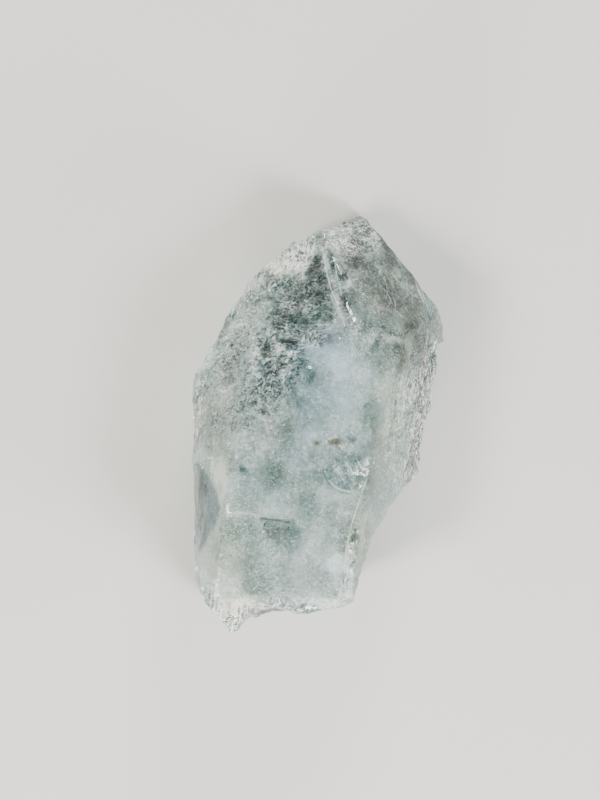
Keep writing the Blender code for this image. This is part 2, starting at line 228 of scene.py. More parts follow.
# Where the stone is uneven, cloudy, clear, frosted or stained. Each row has the cloud's middle (x, y, z)
# and its radii (x, y, z) in mm, and how strong it is.
clouds = {
    "busy": [  # where small marks stand out most; elsewhere the stone is smoother
        (-3.4, 13.2, 14, 4.6, 3.6, 7, 1.2), (-4.8, 6, 16, 3.4, 6.4, 6, 1.25),
        (-9.6, 6.6, 11, 2.6, 6.6, 6, 1.2), (-8.6, 0.4, 15, 3, 4, 6, 0.3), (-7.4, 14, 9, 3.4, 4.6, 6, 1.2),
        (3.4, 16.6, 11, 5, 6, 7, 0.8), (1.4, 21.4, 7, 4.6, 2.2, 6, 0.9), (12, 2.6, 7, 2.2, 7.5, 6, 1.3),
        (9.8, 2.6, 13, 1.6, 8, 6, 0.7), (4.2, -5.2, 18.6, 1.7, 1.7, 4, 0.5),
        (11.2, 10.4, 6, 2, 3.2, 6, 0.8), (-4.4, -22.4, 15, 4.6, 2.2, 6, 0.7),
        (0.6, -20.4, 16, 6, 1.3, 5, 0.6), (-9.6, -4, 15, 2, 3, 6, 0.3), (-12.4, -2.4, 10, 1.2, 12, 8, 0.5),
    ],
    "dark": [  # clear windows, painted darker in colour: painted shade that stands in for dark surroundings seen through the clear stone
        (-2, 17, 11, 0.8, 1.8, 5, 0.7), (-1, 13.8, 14, 1.4, 2.2, 5, 0.85),
        (-3.4, 13.2, 13, 1.9, 1.9, 5, 0.75), (-5.1, 12, 12.2, 1.4, 1.4, 5, 0.6),
        (-3.6, 10.1, 14.5, 2.7, 1.3, 5, 0.9), (-0.8, -22.1, 14, 2.2, 0.7, 5, 0.7),
        (-0.4, 11.2, 16, 1.2, 1.6, 5, 0.4), (-6.1, 6.5, 14.5, 0.9, 1.5, 5, 0.6),
        (-3.8, 7.8, 15.6, 1.4, 1, 4, 0.8), (-5.4, 4.5, 17, 1.7, 0.8, 4, 0.75),
        (-4.7, 2.7, 17.5, 1.3, 1.4, 5, 0.45), (-3.9, 5.6, 16.6, 1, 0.9, 4, 0.7),
        (-0.8, 4.2, 19, 0.8, 1.1, 4, 0.35), (-1.9, 1.2, 19, 1.6, 0.9, 4, 0.3),
        # first on the next line: the pit's upper rim, painted shade
        (1.15, 15.7, 13, 0.45, 0.55, 2, 0.9), (4.3, -1.7, 18.9, 0.4, 0.45, 2, 0.4),
        (-0.1, 17.2, 11.6, 0.5, 1.2, 4, 0.5), (-2, -1.6, 19, 1.2, 2.4, 4, 0.2),
        (5.4, -4, 18.8, 0.9, 0.8, 3, 0.3), (2, -6.4, 19, 1, 1, 3, 0.2), (8.2, 3.8, 15.5, 1.2, 2.4, 5, 0.15),
        (-2.4, 3.6, 18.6, 0.9, 1.9, 5, 0.4), (-2.2, 6, 17, 1.2, 1.1, 4, 0.5),
        (-0.6, 8.9, 16.8, 1.6, 0.8, 4, 0.4), (-7.6, 3.6, 15.8, 1, 1.2, 4, 0.15),
        (-5.4, 0.3, 18.6, 1.1, 0.7, 4, 0.3), (2.1, 13.4, 15, 1.1, 1.6, 5, 0.65),
        (1.5, 16.4, 12.6, 1, 0.8, 5, 0.2), (2.6, 17.8, 10.8, 1.5, 0.9, 5, 0.55),
        (4.4, 17.4, 9.6, 1, 1.1, 5, 0.45), (5.4, 15.4, 11, 1.8, 1.4, 5, 0.35),
        (9.2, 11.6, 12.5, 0.8, 1.6, 5, 0.34), (-11.2, -9.8, 11, 0.9, 3.8, 7, 0.8),
        (-3.1, -6.6, 18, 1.4, 1.7, 3, 0.24), (0.9, -8.9, 18, 0.8, 1.8, 4, 0.22),
        (-6.5, -6.4, 18, 0.5, 0.45, 3, 0.5), (-9.3, 5.6, 12.5, 1.3, 3, 5, 0.4),
        (-9.6, 3.2, 12.5, 0.9, 0.8, 5, 0.6), (-8, 11.6, 10, 1.2, 1, 5, 0.3), (-6.9, 14.4, 9, 1, 1, 5, 0.5),
        (7.2, 1.4, 17.5, 0.7, 3.6, 4, 0.2), (7.2, -5.6, 17.5, 0.7, 1.6, 4, 0.2),
    ],
    "cool": [  # a little bluer than the rest
        (-1.2, 7.6, 17, 1.9, 2.2, 5, 0.9), (-0.2, 1, 19, 1.4, 3.4, 5, 0.7),
        (-0.8, -4.6, 19, 2.6, 1.4, 4, 0.6), (-6.1, 3.7, 16, 1.2, 1.4, 4, 0.6),
        (1, 14.9, 13.5, 0.9, 1.3, 4, 0.6), (-2.5, -9, 19, 2.6, 1.4, 4, 0.4),
        (5.3, -2, 19, 1.4, 1.2, 4, 0.5), (4.9, -15.8, 18.6, 1.2, 2, 4, 0.4),
    ],
    "milk": [  # fine silk that scatters a little blue
        (1.4, 7, 16, 2.3, 3.4, 7, 1), (2.9, 2.8, 16, 2.6, 3.6, 7, 0.9), (0.8, -2.2, 17, 2.6, 1.6, 5, 0.6),
        (-1.6, 2.8, 17, 1.6, 2.6, 5, 0.45), (-10.8, -14.2, 11, 1.3, 2, 7, 0.6),
        (1.5, -13.4, 17, 3.2, 3, 5, 0.35),
    ],
    "pale": [  # wisps of thicker cloud
        (-1.4, 8.3, 16, 1.3, 0.7, 3, 0.6), (-5.9, 9.5, 16, 0.9, 0.9, 3, 0.7),
        (-3, 6.5, 16, 2, 0.6, 3, 0.75), (-5.4, 16.9, 9, 2.8, 1.3, 6, 2.5), (-3, 18.8, 8, 1.6, 1, 6, 2.3),
        (1, 19.6, 9, 1.6, 0.9, 4, 1.4), (-1.9, 10.5, 15.6, 1.2, 0.8, 3, 0.45),
        (7.3, 18.2, 6, 0.9, 1.8, 5, 0.8), (-6.4, -22, 16, 3.2, 1.9, 8, 1.6),
        (-3.6, -20.5, 17, 2.4, 0.9, 8, 0.9), (4.4, -19.2, 17, 2.6, 0.6, 4, 0.7),
        (1.2, 21.2, 8, 3.2, 0.9, 6, 1), (-0.4, 8, 17, 1.2, 1.4, 5, 0.5), (1.8, 6.2, 17, 1.2, 1.6, 5, 0.4),
        (12.6, 2.2, 6, 0.8, 6.4, 5, 0.3), (-7.6, 7, 14.5, 0.8, 2.2, 5, 0.3),
        (6.8, 8.2, 16.9, 1.2, 1.3, 5, 0.5), (6.6, 9.8, 16.2, 2.2, 0.7, 4, 0.9),
        (12, 9.4, 9, 1, 2.6, 5, 0.5), (-4.2, -20.8, 18.8, 1.8, 1, 4, 1.2),
        (2.4, 20.6, 6.5, 1.4, 0.8, 5, 0.4), (5.2, 21.4, 4.8, 1.2, 1.8, 6, 1.1),
        (5.4, 9.3, 16.8, 1.3, 0.8, 4, 0.8), (2.8, 21.7, 6, 2.4, 1.1, 5, 1.8),
        # first on the next line: the pit's lower crescent, a painted highlight
        (1.75, 14.9, 13.6, 0.4, 0.75, 2, 0.8), (8.6, 15.8, 9, 1, 2, 5, 0.3), (3, 11, 17, 1, 1.4, 4, 0.4),
        (5.2, 13, 14, 1.2, 1.2, 4, 0.3), (-8.8, 13.3, 7.8, 1, 1.4, 4, 0.6),
        (-11.3, -7.2, 12, 0.8, 2.4, 5, 1), (-6.6, -3.4, 18.5, 1.2, 1.2, 4, 0.3),
        (-4.2, -3.8, 18.5, 1.2, 1.2, 4, 0.2), (4.9, -15, 17, 0.9, 1.7, 3, 0.8),
        (-8, -8.6, 17, 2.2, 2.6, 4, 0.35), (7.4, 2.6, 13, 1.4, 4, 6, 0.3), (-7, -19, 17, 2.4, 2.4, 4, 0.35),
    ],
    "frost": [  # crushed and splintered places, white with tiny cracks
        (1.2, 22.2, 4.5, 3.4, 1, 4, 1), (1.6, 19.7, 9, 2, 1.2, 5, 0.9), (12, 5, 7, 1.7, 4.4, 6, 1.4),
        (12.2, -2, 7, 1.5, 4.4, 6, 1.25), (10.6, 10.8, 6, 1.2, 2.4, 6, 0.6),
        (8.8, 13.8, 6, 0.9, 2.2, 6, 0.5), (-5, 17.3, 8.5, 2.2, 1.3, 5, 1.3), (-3, 19, 8, 1.4, 0.8, 5, 0.9),
        (-4.6, -22.4, 15, 3.4, 1.7, 5, 1.2), (-0.6, -20.6, 16.5, 4.4, 0.7, 3, 0.4),
        (-7.6, -20.8, 16, 1.6, 1.6, 4, 0.7), (-11.6, 7.2, 9, 1.1, 2.6, 5, 0.7),
        (-12.8, 1.6, 9, 0.9, 4.2, 5, 0.6), (-9.6, 8.6, 12.5, 1.9, 0.8, 3.5, 0.9),
        (-8.9, 12.2, 9, 1, 1.4, 4, 0.6), (-12.2, -4, 12, 0.9, 2.2, 4, 0.6),
        (6.4, -14, 17, 0.5, 3.8, 3, 0.8), (-1.4, 8.6, 17, 1.5, 1, 4, 0.7),
        (-3.9, 6.6, 17, 1.9, 0.45, 4, 0.7),
    ],
    "warm": [  # the faintest buff, on the right face, the breaks and the foot
        (8.2, 1.6, 16, 2, 10, 7, 0.9), (6.6, -10, 17, 1, 6, 7, 1), (12.2, 2.6, 8, 1.8, 8, 7, 1),
        (-12.2, -1, 10.8, 1, 4, 6, 1.2), (10.2, 13.5, 10, 1, 2, 5, 1.2), (7.8, -13.1, 16, 0.9, 3.4, 6, 1.5),
        (0.6, -8.1, 19, 1, 1.8, 4, 0.7), (-8.3, -10.1, 17.8, 0.9, 1.4, 4, 0.8),
        (-7, 6, 15, 0.8, 3.4, 4, 0.5), (9.2, 11.6, 13, 1.4, 2.4, 6, 1.2), (5.6, 15.4, 11, 4, 4.4, 8, 0.7),
        (0.8, 20.6, 7, 4.6, 2.4, 7, 0.7), (-5.4, 16.8, 8, 3.4, 2.2, 7, 0.8), (-10.2, 3, 11, 2.4, 7, 7, 0.5),
        (-9.6, -6.4, 15, 2, 3, 6, 0.9), (-7, -15.6, 17, 2.4, 5, 6, 0.9), (-4.6, -21, 16, 5, 1.8, 7, 0.9),
    ],
    "stain": [  # iron in the open pits and cracks
        (1.2, -2.5, 18.8, 0.5, 0.28, 1.5, 1), (3, -2.3, 18.8, 0.6, 0.34, 1.5, 1.1),
        (9, 7.8, 14.7, 0.35, 0.8, 2.5, 0.7), (-8.7, -9.2, 18, 0.8, 1.2, 2.5, 0.45),
        (-6.2, -21.8, 16, 3, 1.3, 7, 0.15), (-3, -20.2, 17, 2.4, 1, 5, 0.12),
        (10.2, 11.6, 6, 0.9, 1.6, 5, 0.18),
    ],
}
# The stone's flat-sided zones, seen through the front. Each row has how much paler (above 0) or clearer and
# darker (below 0, the same painted shade as the clear windows) the zone is at its upper and lower end, and
# its corners (x, y) in mm.
zones = {
    "edge": 0.22 * mm,
    "clearPatch": [(-11.6, -6.4), (-14, -12), (-14, -17), (-9.6, -15.9), (-8, -11.2), (-8.8, -9.3)],
    "tones": [
        (-0.22, -0.06, [
            (-4.2, -11), (-3, -12.6), (-1.4, -14.1), (-0.1, -13.4), (0.8, -12.4), (-0.4, -10.85)
        ]),
        (-0.14, 0, [(-5.4, -11.4), (-4.5, -13.8), (-4, -12.8), (-4.5, -11.3)]),
        (-0.03, 0.1, [
            (-7.8, -11.7), (-9.4, -18.6), (-7.5, -20.6), (-4.6, -20.5), (-4.6, -17.5), (-5.5, -11.3)
        ]),
        (-0.02, -0.09, [(-5, -16.2), (-4.5, -19.1), (-2.3, -19.6), (-1, -18.7), (-3.5, -16.4)]),
        (0, 0.05, [(-8, -11.2), (-0.4, -10.9), (-0.2, -9.4), (-7.8, -9.6)]),
        (0.14, 0.12, [(3.8, -14.6), (4.7, -16.1), (5.7, -18.7), (6.5, -18.4), (5.7, -13.9), (4.7, -13.7)]),
        # a pale strip along the front's right edge: painted highlight
        (0.16, 0.24, [(6, -11.1), (5.7, -12.7), (6.5, -18.4), (7.2, -18.3), (6.8, -14.2)]),
        (-0.1, -0.12, [(2, -5.2), (2.8, -6.6), (4.4, -7.2), (6, -6.6), (6.3, -5), (5.4, -3.4), (3.8, -3)]),
        (0.1, 0.12, [(-10.6, -5.8), (-8, -11), (-7.6, -8), (-8.6, -5.6)]),
        (-0.12, -0.08, [
            (-1.6, 17.6), (-2.8, 16.8), (-3.2, 13), (-2.6, 9.8), (-0.6, 10.6), (-0.5, 12.6), (-0.9, 14.5)
        ]),
        (0.18, 0.12, [(-1.6, 18.8), (-0.3, 14), (1.8, 10.2), (2.4, 10.4), (0.5, 14.3), (-1.1, 18.6)]),
        (-0.05, -0.07, [(5.6, 4.6), (5.4, 1), (5.6, -2.4), (6.9, -4.6), (7.4, -0.8), (6.6, 4)]),
    ],
}


def easeRidges(mesh, points, normals):
    # weather the sharp steps of the growth terraces, knock the long ridges about, and round the front
    # face over into the shoulder; gives how much each point was rubbed
    likePrism = (normals @ np.array(skin["prismNormals"]).T).max(1)
    worn = averageOfNeighbours(mesh, smoothStep(likePrism, 0.80, 0.95), 3)
    for _ in range(skin["wornRounds"]):
        points += 0.8 * worn[:, None] * (averageOfNeighbours(mesh, points) - points)
    prism = smoothStep(likePrism, 0.90, 0.96)
    nearPrism = smoothStep(averageOfNeighbours(mesh, prism, 6), 0.35, 0.6)
    ridge = np.clip(2.5 * averageOfNeighbours(mesh, (1 - prism) * nearPrism, 2), 0, 1)
    calm = averageOfNeighbours(mesh, normals, 3)
    between = np.sort(calm @ np.array(skin["prismNormals"]).T)[:, -2]  # high where two grown faces meet
    rubbed = averageOfNeighbours(mesh, ridge * smoothStep(between, 0.62, 0.74), 2)
    chipped = ridge * smoothStep(sampleNoise(points, skin["chippedSize"], 8, 3), -0.25, 0.35)
    for _ in range(skin["chippedRounds"]):
        points += chipped[:, None] * (averageOfNeighbours(mesh, points) - points)
    start, end = np.array(skin["easedRidge"][0]), np.array(skin["easedRidge"][1])
    along = end - start
    share = np.clip((points[:, :2] - start) @ along / (along @ along), 0, 1)
    away = np.linalg.norm(points[:, :2] - start - share[:, None] * along, axis=1)
    weight = np.exp(-((away / skin["easedWidth"]) ** 2)) * smoothStep(points[:, 2], 11 * mm, 14 * mm)
    for _ in range(skin["easedRounds"]):
        points += weight[:, None] * (averageOfNeighbours(mesh, points) - points)
    mesh.vertices.foreach_set("co", points.ravel())
    mesh.update()
    return rubbed


def zoneShare(points, corners):
    # 1 inside the corners as seen from above, 0 outside, with a slightly uneven edge
    sway = 0.12 * mm * sampleNoise(points, 0.9 * mm, 66, octaves=2)
    x, y = points[:, 0] + sway, points[:, 1] - sway
    corners = np.array(corners) * mm
    inside = np.zeros(len(points), bool)
    away = np.full(len(points), np.inf)
    for start, end in zip(corners, np.roll(corners, -1, axis=0)):
        along = end - start
        share = np.clip(((x - start[0]) * along[0] + (y - start[1]) * along[1]) / (along @ along), 0, 1)
        nearest = start[:, None] + share * along[:, None]
        away = np.minimum(away, np.hypot(x - nearest[0], y - nearest[1]))
        if start[1] != end[1]:
            crosses = (start[1] > y) != (end[1] > y)
            inside ^= crosses & (x < start[0] + (y - start[1]) * along[0] / along[1])
    return smoothStep(np.where(inside, away, -away), -zones["edge"], zones["edge"])


def paintClouds(mesh, points, broken, rubbed):
    # soft marks that the beryl's own nodes read, one value a point
    cloud = {name: blobShare(points, blobs) for name, blobs in clouds.items()}
    unseen = smoothStep(points[:, 2], 9 * mm, 5 * mm)  # the lower sides and the back vary by themselves
    swirl = sampleNoise(points, (5 * mm, 8 * mm, 5 * mm), 61, octaves=3)
    cloud["dark"] = np.maximum(cloud["dark"], 0.8 * unseen * smoothStep(swirl, 0.15, 0.55))
    cloud["milk"] = np.maximum(cloud["milk"], 0.8 * unseen * smoothStep(swirl, -0.15, -0.5))
    cloud["broken"] = broken
    cloud["rubbed"] = rubbed
    cloud["busy"] = np.maximum(cloud["busy"], 0.5 * unseen)
    cloud["patch"] = zoneShare(points, zones["clearPatch"])
    cloud["zone"] = np.zeros(len(points))
    for upper, lower, corners in zones["tones"]:
        ends = [y * mm for _, y in corners]
        rise = (points[:, 1] - min(ends)) / (max(ends) - min(ends))
        cloud["zone"] += zoneShare(points, corners) * (lower + (upper - lower) * np.clip(rise, 0, 1))
    cloud["zone"] *= smoothStep(points[:, 2], 5 * mm, 9 * mm)
    # the tapering upper right, where the grain runs steeply down to the right
    beyond = points[:, 0] - 1.5 * mm + 0.35 * (points[:, 1] - 16.6 * mm)
    cloud["slant"] = smoothStep(beyond, -mm, 2 * mm) * smoothStep(points[:, 1], 5.1 * mm, 8.6 * mm)
    for name, values in cloud.items():
        mesh.attributes.new(name, "FLOAT", "POINT").data.foreach_set("value", values.astype(np.float32))


def shapeSkin(mesh):
    # terraces and etching on the grown faces, hackly relief on the breaks
    rubbed = easeRidges(mesh, *pointsAndNormals(mesh))
    points, normals = pointsAndNormals(mesh)
    calm = unit(averageOfNeighbours(mesh, normals, 3))
    prismNormals = np.array(skin["prismNormals"])
    likePrism = calm @ prismNormals.T
    likePyramid = calm @ np.array(skin["pyramidNormals"]).T
    face = likePrism.argmax(1)
    prism = smoothStep(likePrism.max(1), skin["flatFrom"], skin["flatTo"])
    pyramid = smoothStep(likePyramid.max(1), skin["flatFrom"], skin["flatTo"])
    broken = averageOfNeighbours(mesh, 1 - np.maximum(prism, pyramid), 4)

    across = np.einsum("ij,ij->i", points, np.cross(prismNormals, (0, 1, 0))[face])
    lines = np.column_stack([across, points[:, 1], face * 7 * mm])
    striae = np.zeros(len(points))
    for spacing, depth in skin["striae"]:
        striae += depth * sampleNoise(lines, (spacing, skin["striaLength"], mm), 1 + spacing / mm)

    relief = {
        name: depth * sampleNoise(points, size, seed, octaves, ridged)
        for name, (size, depth, seed, octaves, ridged) in skin["relief"].items()
    }
    rim = smoothStep(points[:, 0], 8.5 * mm, 11.5 * mm) * smoothStep(points[:, 1], 11.6 * mm, 9.1 * mm)
    rim *= smoothStep(points[:, 1], -8.4 * mm, -4.9 * mm) * smoothStep(points[:, 2], 13.5 * mm, 11.5 * mm)

    depth = prism * striae + relief["etching"] + relief["pricks"]
    depth += broken * (relief["hackle"] - np.abs(relief["chips"]))
    depth += rim * relief["splinters"] * (0.35 + broken)
    depth *= 1 - 0.6 * np.clip(blobShare(points, clouds["dark"]), 0, 1)  # the clear windows are smoother
    depth -= skin["pitDepth"] * blobShare(points, [skin["pit"]], 0.1 * mm)
    resting = smoothStep(points[:, 2], 0.0, 1.0 * mm)  # the back stays flat where it lies on the table
    points += normals * (depth * resting)[:, None]
    points[:, 2] = np.maximum(points[:, 2], 0)
    mesh.vertices.foreach_set("co", points.ravel())
    mesh.update()
    paintClouds(mesh, points, broken, rubbed)
    mesh.shade_smooth()


# Beryl is a glassy mineral: clear with a faint blue-green cast, etched on its grown faces, and white
# where breaks and healed cracks scatter the light.

beryl = {
    "ior": 1.577,
    "absorptionColour": (0.30, 0.79, 0.78),
    "absorptionDensity": 10.0,
    # from the clearest, darkest stone to the whitest
    "tones": [
        (0.05, "#34423f"), (0.25, "#697d79"), (0.42, "#b1c6c0"),
        (0.55, "#dce8e2"), (0.72, "#eff6f1"), (0.92, "#fefefb"),
    ],
    "clarity": [(0.30, 1.0), (0.50, 0.90), (0.62, 0.77), (0.78, 0.62), (0.95, 0.36)],
    # tints laid over the tones: where each lies, its colour and how it mixes
    "tints": [
        ("milk", "#ccdcef", "MULTIPLY"),
        ("cool", "#ccdcef", "MULTIPLY"),
        ("patch", "#ccdcef", "MULTIPLY"),
        ("warm", "#fff8ea", "MULTIPLY"),
        ("crushed", "#fafaf6", "MIX"),
        ("stain", "#95825f", "MULTIPLY"),
    ],
    "drawnOut": (1, 6, 1),  # how many times longer than wide a streak is
    "slantAngle": 29.0,  # degrees that the slanting streaks lie off the c axis
    # each noise: its real size, which way it is drawn out, its detail, roughness and distortion
    "noises": {
        "patches": (3.0 * mm, "straight", 4, 0.5, 0.3),
        "mottle": (0.9 * mm, "straight", 4, 0.65, 0.4),
        "speckle": (0.38 * mm, "straight", 2, 0.6, 0),
        "pepper": (0.17 * mm, "straight", 1, 0.5, 0),
        "grain": (0.45 * mm, "along", 3, 0.6, 0.2),
        "slantGrain": (0.40 * mm, "aslant", 3, 0.6, 0.2),
        "longCracks": (0.8 * mm, "along", 3, 0.55, 1.0),
        "shortCracks": (1.0 * mm, "straight", 3, 0.6, 2.0),
        "darkCracks": (0.6 * mm, "along", 3, 0.6, 1.4),
    },
    # how far from its middle value a noise still counts as a thin curved crack
    "crackWidths": {"longCracks": 0.045, "shortCracks": 0.025, "darkCracks": 0.065},
    # what each value starts from and how much of other marks it adds, or the two marks that make it
    "values": {
        "anyCracks": ("MAXIMUM", "longCracks", "shortCracks"),
        "crushed": ("MULTIPLY", "anyCracks", "frost"),
        "shadowed": ("MULTIPLY", "darkCracks", "frost"),
        "fewCracks": ("MULTIPLY", "shortCracks", "busy"),
        # the small marks, each about its own middle value, and weaker in the smooth stone
        "smallMarks": (-1.925, [("mottle", 1.0), ("speckle", 1.2), ("pepper", 1.2), ("streaks", 0.45)]),
        "strength": (0.20, [("busy", 0.80)]),
        "weighedMarks": ("MULTIPLY", "smallMarks", "strength"),
        # dark: the clear windows' painted shade, standing in for dark surroundings seen through the stone
        "tone": (0.335, [
            ("weighedMarks", 1.0), ("patches", 0.40), ("zone", 1.0), ("dark", -0.56), ("milk", 0.16),
            ("pale", 0.28), ("patch", -0.14), ("slant", -0.14), ("frost", -0.36), ("shadowed", -0.66),
            ("crushed", 1.05), ("fewCracks", 0.36),
        ]),
        "roughness": (0.03, [("broken", 0.03), ("frost", 0.01), ("rubbed", 0.40)]),
        "lumpiness": (0.26, [("frost", 0.80)]),
    },
    # relief too fine for the net: its noise, strength and height
    "bumps": [("speckle", 0.45, 0.05 * mm), ("pepper", 0.5, 0.02 * mm), ("streaks", 0.6, 0.07 * mm)],
    "lumpHeight": 0.12 * mm,
}


def berylMaterial():
    material, tree = startMaterial("beryl")
    marks = {  # the node and output that give each mark
        name: (addNode(tree, "ShaderNodeAttribute", {"attribute_name": name}), "Fac")
        for name in (*clouds, "patch", "zone", "broken", "rubbed", "slant")
    }

    # noises read straight, drawn out along the c axis, or drawn out down to the right
    straight = (addNode(tree, "ShaderNodeTexCoord"), "Object")
    ways = {"straight": straight}
    for way, angle in (("along", 0), ("aslant", math.radians(beryl["slantAngle"]))):
        settings = {"vector_type": "TEXTURE", "Scale": beryl["drawnOut"], "Rotation": (0, 0, angle)}
        ways[way] = (addNode(tree, "ShaderNodeMapping", settings, {"Vector": straight}), "Vector")
    for name, (size, way, detail, roughness, distortion) in beryl["noises"].items():
        settings = {"Scale": 1 / size, "Detail": detail, "Roughness": roughness, "Distortion": distortion}
        marks[name] = (addNode(tree, "ShaderNodeTexNoise", settings, {"Vector": ways[way]}), "Fac")
    bothGrains = {0: marks["slant"], 2: marks["grain"], 3: marks["slantGrain"]}
    marks["streaks"] = (addNode(tree, "ShaderNodeMix", {"data_type": "FLOAT"}, bothGrains), 0)
    for name, width in beryl["crackWidths"].items():
        fromMiddle = addNode(tree, "ShaderNodeMath", {"operation": "SUBTRACT", 1: 0.5}, {0: marks[name]})
        away = addNode(tree, "ShaderNodeMath", {"operation": "ABSOLUTE"}, {0: (fromMiddle, 0)})
        stops = {"stops": [(0.0, 1.0), (width, 0.0)]}
        marks[name] = (addNode(tree, "ShaderNodeValToRGB", stops, {"Fac": (away, 0)}), "Color")

    for name, recipe in beryl["values"].items():
        if len(recipe) == 3:
            operation, first, second = recipe
            both = {0: marks[first], 1: marks[second]}
            marks[name] = (addNode(tree, "ShaderNodeMath", {"operation": operation}, both), 0)
            continue
        start, parts = recipe
        for part, weight in parts:
            settings = {"operation": "MULTIPLY_ADD", 1: weight, 2: start}
            settings["use_clamp"] = name == "lumpiness"
            soFar = {2: marks[name]} if name in marks else {}
            marks[name] = (addNode(tree, "ShaderNodeMath", settings, {0: marks[part], **soFar}), 0)

    tones = {"stops": beryl["tones"]}
    colour = (addNode(tree, "ShaderNodeValToRGB", tones, {"Fac": marks["tone"]}), "Color")
    for place, tint, blend in beryl["tints"]:
        settings = {"data_type": "RGBA", "blend_type": blend, mixB: (*toLinear(tint), 1)}
        colour = (addNode(tree, "ShaderNodeMix", settings, {0: marks[place], mixA: colour}), mixResult)
    clarity = addNode(tree, "ShaderNodeValToRGB", {"stops": beryl["clarity"]}, {"Fac": marks["tone"]})

    normal = {}
    for name, strength, height in beryl["bumps"]:
        settings = {"Strength": strength, "Distance": height}
        bump = addNode(tree, "ShaderNodeBump", settings, {"Height": marks[name], **normal})
        normal = {"Normal": (bump, "Normal")}
    lumps = {"Strength": marks["lumpiness"], "Height": marks["mottle"], **normal}
    lumps = addNode(tree, "ShaderNodeBump", {"Distance": beryl["lumpHeight"]}, lumps)

    surface = {
        "Base Color": colour,
        "Roughness": marks["roughness"],
        "Transmission Weight": (clarity, "Color"),
        "Normal": (lumps, "Normal"),
    }
    shader = addNode(tree, "ShaderNodeBsdfPrincipled", {"IOR": beryl["ior"]}, surface)
    tint = {"Color": (*beryl["absorptionColour"], 1), "Density": beryl["absorptionDensity"]}
    absorption = addNode(tree, "ShaderNodeVolumeAbsorption", tint)
    addNode(tree, "ShaderNodeOutputMaterial", links={"Surface": (shader, 0), "Volume": (absorption, 0)})
    return material


crystalMesh = refinedCrystal()
shapeSkin(crystalMesh)
crystalMesh.materials.clear()
crystalMesh.materials.append(berylMaterial())
crystal = placePiece("crystalSkin", crystalMesh)
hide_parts(crystalNode)
print("crystal skin:", len(crystalMesh.vertices), "points")


# What lies inside the stone.

stone = BVHTree.FromPolygons(
    [v.co[:] for v in crystalMesh.vertices],
    [p.vertices[:] for p in crystalMesh.polygons],
)


def depthInside(point):
    # how far a point lies under the skin; negative outside
    nearest, normal, _, distance = stone.find_nearest(point)
    return distance if (Vector(point) - nearest).dot(normal) < 0 else -distance


def deeperThan(places, depth):
    return np.array([depthInside(place) > depth for place in places], bool)


def under(x, y, depth):
    # the place that lies the given depth straight below the stone's upper side, x, y and depth in mm
    hit = stone.ray_cast((x * mm, y * mm, 1.0), (0, 0, -1))[0]
    return None if hit is None else np.array((x * mm, y * mm, hit.z - depth * mm))


def fleckPiece(name, centres, facing, sizes, material, rng):
    # each fleck is one uneven four-cornered flake, square to its own direction
    count = len(centres)
    facing = unit(facing)
    side = unit(np.cross(facing, rng.normal(size=(count, 3))))
    up = np.cross(facing, side)
    corners = []
    for turn in range(4):
        reach = (sizes * rng.uniform(0.35, 1.0, count) / 2)[:, None]
        angle = (math.tau * (turn + rng.uniform(-0.3, 0.3, count)) / 4)[:, None]
        corners.append(centres + reach * np.cos(angle) * side + reach * np.sin(angle) * up)
    points = np.stack(corners, 1).reshape(-1, 3)
    faces = np.arange(4 * count).reshape(-1, 4)
    return innerPiece(name, points.tolist(), faces.tolist(), material)


def filmMaterial(name, dark, light, size, roughness):
    # thin films of fluid or air in a healed crack: satin, uneven in tone from fleck to fleck
    return mottledMaterial(name, [(0.36, dark), (0.64, light)], size, roughness, 2)


# Fine silk and fluid films near the skin: what makes the stone milky without hiding its depth.

silk = {
    "seed": 21,
    "tries": 150000,
    "depth": 1.3 * mm,  # how deep under the skin most of it lies
    "margin": 0.12 * mm,
    "patchSize": (1.6 * mm, 2.6 * mm, 1.6 * mm),
    "patchRange": (-0.55, 0.75),
    "unseenShare": 0.35,  # how much of it the sides and the back have, next to the upper side
    "size": (0.10 * mm, 0.36 * mm),
    "scatter": 0.45,
}
milk = {
    "seed": 22,
    "tries": 60000,
    "depth": 1.8 * mm,
    "margin": 0.15 * mm,
    "patchSize": (1.6 * mm, 3.0 * mm, 1.6 * mm),
    "patchRange": (-1.0, 0.7),
    "unseenShare": 0.1,
    "size": (0.08 * mm, 0.22 * mm),
    "scatter": 0.6,
}


def scatterSilk(name, part, material, wanted):
    # random places under the skin, kept where the stone is cloudy
    rng = np.random.default_rng(part["seed"])
    points, normals = pointsAndNormals(crystalMesh)
    picked = rng.integers(0, len(points), part["tries"])
    depths = part["margin"] + rng.exponential(part["depth"], part["tries"])
    places = points[picked] - normals[picked] * depths[:, None]
    places += rng.normal(size=places.shape) * 0.15 * mm
    patches = sampleNoise(places, part["patchSize"], part["seed"], 3)
    want = wanted[picked] * smoothStep(patches, *part["patchRange"])
    want *= np.where(normals[picked, 2] > 0.3, 1.0, part["unseenShare"])
    keep = rng.uniform(size=len(places)) < want
    places, facing = places[keep], normals[picked][keep]
    deep = deeperThan(places, part["margin"])
    places, facing = places[deep], facing[deep]
    facing = facing + part["scatter"] * rng.normal(size=facing.shape)
    return fleckPiece(name, places, facing, rng.uniform(*part["size"], len(places)), material, rng)


def paintedCloud(name):
    values = np.empty(len(crystalMesh.vertices), np.float32)
    crystalMesh.attributes[name].data.foreach_get("value", values)
    return values.astype(float)


silkMaterial = filmMaterial("silk", "#b3c4c1", "#f7fbfa", 0.7 * mm, 0.4)
milkMaterial = filmMaterial("milkyBeryl", "#bcd0ea", "#f1f6fd", 0.8 * mm, 0.6)
silky = 0.6 - 1.1 * paintedCloud("dark") - 0.5 * paintedCloud("patch") + 0.3 * paintedCloud("pale")
scatterSilk("silkFlecks", silk, silkMaterial, np.clip(silky, 0, 1))
scatterSilk("milkyCloud", milk, milkMaterial, paintedCloud("milk"))


# Healed cracks: wavy sheets of tiny fluid films, some dark against the light and some silvery.

